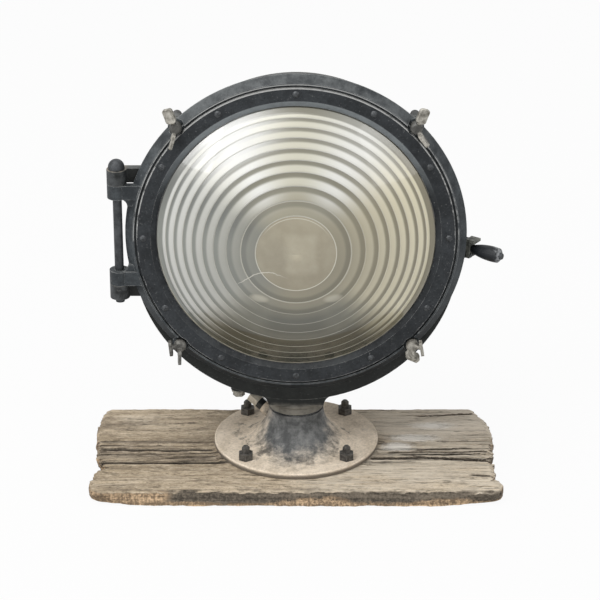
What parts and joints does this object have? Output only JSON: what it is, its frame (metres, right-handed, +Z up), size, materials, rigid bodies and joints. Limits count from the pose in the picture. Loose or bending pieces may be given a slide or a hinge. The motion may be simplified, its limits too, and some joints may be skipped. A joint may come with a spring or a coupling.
{
  "type": "ship searchlight",
  "caption": "Ship searchlight with a stepped glass lens in a hinged, clamped door, on a panning neck and a cast pedestal bolted to a weathered board.",
  "frame": {"origin": "on the underside of the board, on the vertical axis that the head pans about", "axes": "+Z up along the pan axis, +X to the right seen from the front, the lens faces -Y"},
  "size_m": [0.514, 0.339, 0.5329],
  "materials": {
    "weathered_wood": "weathered, split and grey",
    "rusty_iron": "dark and rusty",
    "dusty_cast_iron": "cast, dusty",
    "brass": "aged",
    "black_paint": "worn satin black",
    "dark_steel": "darkened",
    "bright_steel": "dull",
    "bare_alloy": "dull, bare",
    "black_bakelite": "polished by use",
    "lamp_ceramic": "glazed",
    "black_rubber": "matt",
    "lead_sleeving": "matt",
    "lens_glass": "pressed, slightly cloudy",
    "lamp_glass": "clear",
    "silvered_mirror": "silvered"
  },
  "bodies": {
    "base": {"mounting_board": "weathered_wood", "base_bolts": "rusty_iron", "base_nuts": "rusty_iron", "pedestal": "dusty_cast_iron", "pan_bush": "brass", "thrust_washer": "black_paint", "gland_body": "black_bakelite", "gland_seal": "black_rubber", "gland_nut": "brass"},
    "head": {"housing": "black_paint", "ring_nut": "dark_steel", "drain_plug": "bare_alloy", "door_gasket": "black_rubber", "clamp_sleeves": "dark_steel", "hinge_pin": "dark_steel", "lamp_bracket": "bright_steel", "lamp_bracket_screws": "bright_steel", "back_mirror": "silvered_mirror", "mirror_stud": "bright_steel", "lamp_socket": "lamp_ceramic", "lamp_cap": "brass", "lamp_globe": "lamp_glass", "lamp_filament": "bright_steel", "terminal_block": "black_bakelite", "terminal_screws": "brass", "lamp_leads": "lead_sleeving", "handle_bracket": "bright_steel", "handle_screws": "dark_steel", "handle_bolt": "bright_steel"},
    "door": {"door_frame": "black_paint", "fresnel_lens": "lens_glass", "lens_gaskets": "black_rubber", "retaining_ring": "black_paint", "ring_screws": "dark_steel"},
    "wing_tl": {"wing_screw_tl": "bare_alloy"},
    "wing_tr": {"wing_screw_tr": "bare_alloy"},
    "wing_bl": {"wing_screw_bl": "bare_alloy"},
    "wing_br": {"wing_screw_br": "bare_alloy"},
    "grip": {"handle_grip": "black_bakelite"}
  },
  "joints": [
    {"name": "pan", "type": "hinge", "parent": "base", "child": "head", "pos_m": [0, 0, 0.076], "axis": [0, 0, 1], "range_deg": [-170, 170]},
    {"name": "door_open", "type": "hinge", "parent": "head", "child": "door", "pos_m": [-0.2155, -0.0425, 0.326], "axis": [0, 0, -1], "range_deg": [0, 110]},
    {"name": "wing_turn_tl", "type": "hinge", "parent": "door", "child": "wing_tl", "pos_m": [-0.14284, -0.052, 0.46884], "axis": [0, 1, 0], "continuous": true},
    {"name": "wing_turn_tr", "type": "hinge", "parent": "door", "child": "wing_tr", "pos_m": [0.14284, -0.052, 0.46884], "axis": [0, 1, 0], "continuous": true},
    {"name": "wing_turn_bl", "type": "hinge", "parent": "door", "child": "wing_bl", "pos_m": [-0.14284, -0.052, 0.18316], "axis": [0, 1, 0], "continuous": true},
    {"name": "wing_turn_br", "type": "hinge", "parent": "door", "child": "wing_br", "pos_m": [0.14284, -0.052, 0.18316], "axis": [0, 1, 0], "continuous": true},
    {"name": "grip_spin", "type": "hinge", "parent": "head", "child": "grip", "pos_m": [0.211, -0.024, 0.301], "axis": [0.8192, -0.5736, 0], "continuous": true}
  ]
}
